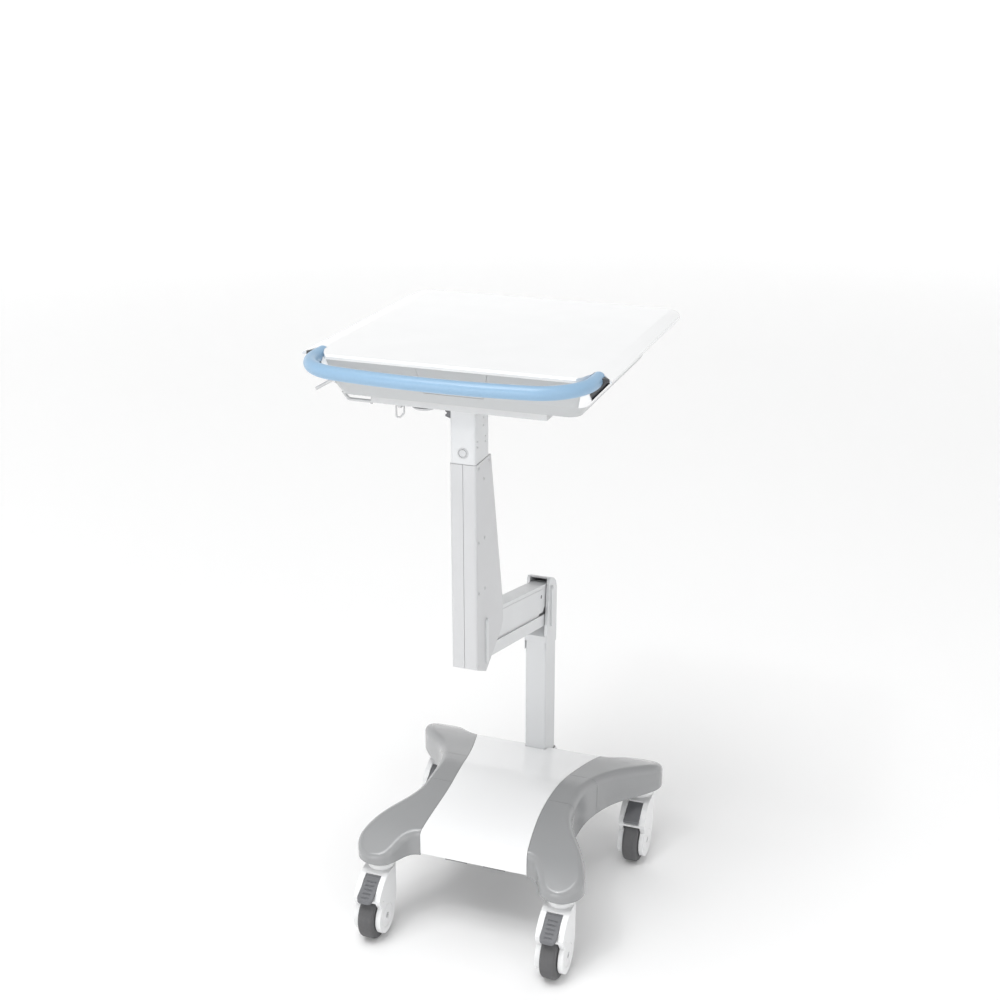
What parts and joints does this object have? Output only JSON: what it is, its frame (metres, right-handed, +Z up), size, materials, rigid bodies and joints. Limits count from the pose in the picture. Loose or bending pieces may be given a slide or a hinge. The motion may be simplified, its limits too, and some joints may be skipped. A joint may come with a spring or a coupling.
{
  "type": "medication and workstation cart",
  "caption": "Wheeled ward cart: an X-shaped base on swivel casters, a parallel lift arm and mast, and a flat deck with a hopper tray and a push handle.",
  "frame": {"origin": "middle of the cart's bounding box in plan, at floor level", "axes": "+Z up, +X to the user's right, +Y away from the push handle"},
  "size_m": [0.5596, 0.6636, 1.2025],
  "materials": {
    "white_gloss_plastic": "smooth moulded plastic with a soft gloss",
    "tray_plastic": "light grey moulded plastic, satin",
    "grey_cover_plastic": "mid grey moulded plastic with a fine texture",
    "silver_plastic": "silver grey moulded plastic, satin",
    "silver_paint": "silver grey powder coat, fine",
    "blue_paint": "light blue satin coat",
    "frame_steel": "dark grey coated steel",
    "plate_steel": "light grey coated sheet steel",
    "bright_steel": "bright drawn steel",
    "spring_body": "black coated steel tube",
    "caster_plastic": "light grey moulded plastic, fine texture",
    "pedal_plastic": "mid grey moulded plastic",
    "dark_plastic": "dark grey moulded plastic",
    "hub_plastic": "grey moulded plastic",
    "tyre_rubber": "grey non-marking rubber"
  },
  "bodies": {
    "base": {"base_cover": "white_gloss_plastic", "base_frame": "frame_steel", "base_screws": "bright_steel", "base_under_plate": "frame_steel", "caster_stems": "bright_steel", "column": "silver_paint", "column_foot": "silver_paint", "front_left_leg_cover": "grey_cover_plastic", "front_right_leg_cover": "grey_cover_plastic", "head_bracket": "silver_paint", "head_cap": "silver_plastic", "head_pivot_pins": "bright_steel", "head_tie_bars": "silver_paint", "middle_left_leg_cover": "grey_cover_plastic", "middle_right_leg_cover": "grey_cover_plastic", "rear_left_leg_cover": "grey_cover_plastic", "rear_right_leg_cover": "grey_cover_plastic"},
    "upper_arm": {"upper_arm": "silver_paint", "gas_spring": "spring_body"},
    "lower_arm": {"lower_arm": "silver_paint"},
    "mast": {"mast_left_shell": "silver_plastic", "mast_right_shell": "silver_plastic", "mast_spine": "frame_steel", "mast_bottom_cap": "silver_plastic", "mast_pivot_pins": "bright_steel", "mast_tie_bars": "silver_paint", "mast_screws": "bright_steel"},
    "deck": {"deck_post": "silver_paint", "deck_plate": "plate_steel", "deck_top": "white_gloss_plastic", "tray_shell": "tray_plastic", "handle": "blue_paint", "handle_inserts": "dark_plastic", "wire_rail": "plate_steel", "round_cap": "silver_plastic", "cable_bracket": "pedal_plastic"},
    "post_button": {"post_button": "silver_plastic"},
    "front_paddle": {"front_paddle": "tray_plastic"},
    "side_lever": {"side_lever": "plate_steel"},
    "cable_hook": {"cable_hook": "plate_steel"},
    "front_left_caster": {"front_left_caster_housing": "caster_plastic", "front_left_wheel_axle": "bright_steel"},
    "front_left_wheel": {"front_left_wheel_hub": "hub_plastic", "front_left_tyre": "tyre_rubber"},
    "front_left_pedal": {"front_left_brake_pedal": "pedal_plastic"},
    "front_right_caster": {"front_right_caster_housing": "caster_plastic", "front_right_wheel_axle": "bright_steel"},
    "front_right_wheel": {"front_right_wheel_hub": "hub_plastic", "front_right_tyre": "tyre_rubber"},
    "front_right_pedal": {"front_right_brake_pedal": "pedal_plastic"},
    "rear_left_caster": {"rear_left_caster_housing": "caster_plastic", "rear_left_wheel_axle": "bright_steel", "rear_left_housing_insert": "pedal_plastic"},
    "rear_left_wheel": {"rear_left_wheel_hub": "hub_plastic", "rear_left_tyre": "tyre_rubber"},
    "rear_right_caster": {"rear_right_caster_housing": "caster_plastic", "rear_right_wheel_axle": "bright_steel", "rear_right_housing_insert": "pedal_plastic"},
    "rear_right_wheel": {"rear_right_wheel_hub": "hub_plastic", "rear_right_tyre": "tyre_rubber"}
  },
  "joints": [
    {"name": "arm_lift", "type": "hinge", "parent": "base", "child": "upper_arm", "pos_m": [0, 0.2703, 0.595], "axis": [-1, 0, 0], "range_deg": [-40, 14]},
    {"name": "lower_link", "type": "hinge", "parent": "base", "child": "lower_arm", "pos_m": [0, 0.2703, 0.525], "axis": [-1, 0, 0], "range_deg": [-40, 14]},
    {"name": "mast_level", "type": "hinge", "parent": "upper_arm", "child": "mast", "pos_m": [0, -0.11865, 0.68838], "axis": [-1, 0, 0], "range_deg": [-14, 40]},
    {"name": "post_slide", "type": "slide", "parent": "mast", "child": "deck", "axis": [0, 0, 1], "range_m": [0, 0.08]},
    {"name": "post_button_press", "type": "slide", "parent": "deck", "child": "post_button", "axis": [0, 1, 0], "range_m": [0, 0.003], "stiffness_N_per_m": 600, "springref_m": -0.002},
    {"name": "paddle_pull", "type": "hinge", "parent": "deck", "child": "front_paddle", "pos_m": [0, -0.2112, 1.183], "axis": [-1, 0, 0], "range_deg": [0, 6.5], "stiffness_Nm_per_rad": 1.5, "springref_deg": -6.88},
    {"name": "side_lever_turn", "type": "hinge", "parent": "deck", "child": "side_lever", "pos_m": [-0.215, -0.2197, 1.155], "axis": [0, 1, 0], "range_deg": [0, 30], "stiffness_Nm_per_rad": 0.2, "springref_deg": -6.88},
    {"name": "cable_hook_swing", "type": "hinge", "parent": "deck", "child": "cable_hook", "pos_m": [-0.1135, -0.1727, 1.103], "axis": [1, 0, 0], "range_deg": [-60, 60]},
    {"name": "front_left_caster_swivel", "type": "hinge", "parent": "base", "child": "front_left_caster", "pos_m": [-0.188, -0.1512, 0.14], "axis": [0, 0, 1], "continuous": true},
    {"name": "front_left_wheel_roll", "type": "hinge", "parent": "front_left_caster", "child": "front_left_wheel", "pos_m": [-0.188, -0.1912, 0.05], "axis": [1, 0, 0], "continuous": true},
    {"name": "front_left_brake_press", "type": "hinge", "parent": "front_left_caster", "child": "front_left_pedal", "pos_m": [-0.188, -0.1907, 0.1305], "axis": [1, 0, 0], "range_deg": [0, 5]},
    {"name": "front_right_caster_swivel", "type": "hinge", "parent": "base", "child": "front_right_caster", "pos_m": [0.188, -0.1512, 0.14], "axis": [0, 0, 1], "continuous": true},
    {"name": "front_right_wheel_roll", "type": "hinge", "parent": "front_right_caster", "child": "front_right_wheel", "pos_m": [0.188, -0.1912, 0.05], "axis": [1, 0, 0], "continuous": true},
    {"name": "front_right_brake_press", "type": "hinge", "parent": "front_right_caster", "child": "front_right_pedal", "pos_m": [0.188, -0.1907, 0.1305], "axis": [1, 0, 0], "range_deg": [0, 5]},
    {"name": "rear_left_caster_swivel", "type": "hinge", "parent": "base", "child": "rear_left_caster", "pos_m": [-0.2265, 0.2868, 0.14], "axis": [0, 0, 1], "continuous": true},
    {"name": "rear_left_wheel_roll", "type": "hinge", "parent": "rear_left_caster", "child": "rear_left_wheel", "pos_m": [-0.2265, 0.2468, 0.05], "axis": [1, 0, 0], "continuous": true},
    {"name": "rear_right_caster_swivel", "type": "hinge", "parent": "base", "child": "rear_right_caster", "pos_m": [0.2265, 0.2868, 0.14], "axis": [0, 0, 1], "continuous": true},
    {"name": "rear_right_wheel_roll", "type": "hinge", "parent": "rear_right_caster", "child": "rear_right_wheel", "pos_m": [0.2265, 0.2468, 0.05], "axis": [1, 0, 0], "continuous": true}
  ],
  "couplings": [
    {"joint": "lower_link", "follows": "arm_lift", "ratio": 1},
    {"joint": "mast_level", "follows": "arm_lift", "ratio": -1}
  ]
}
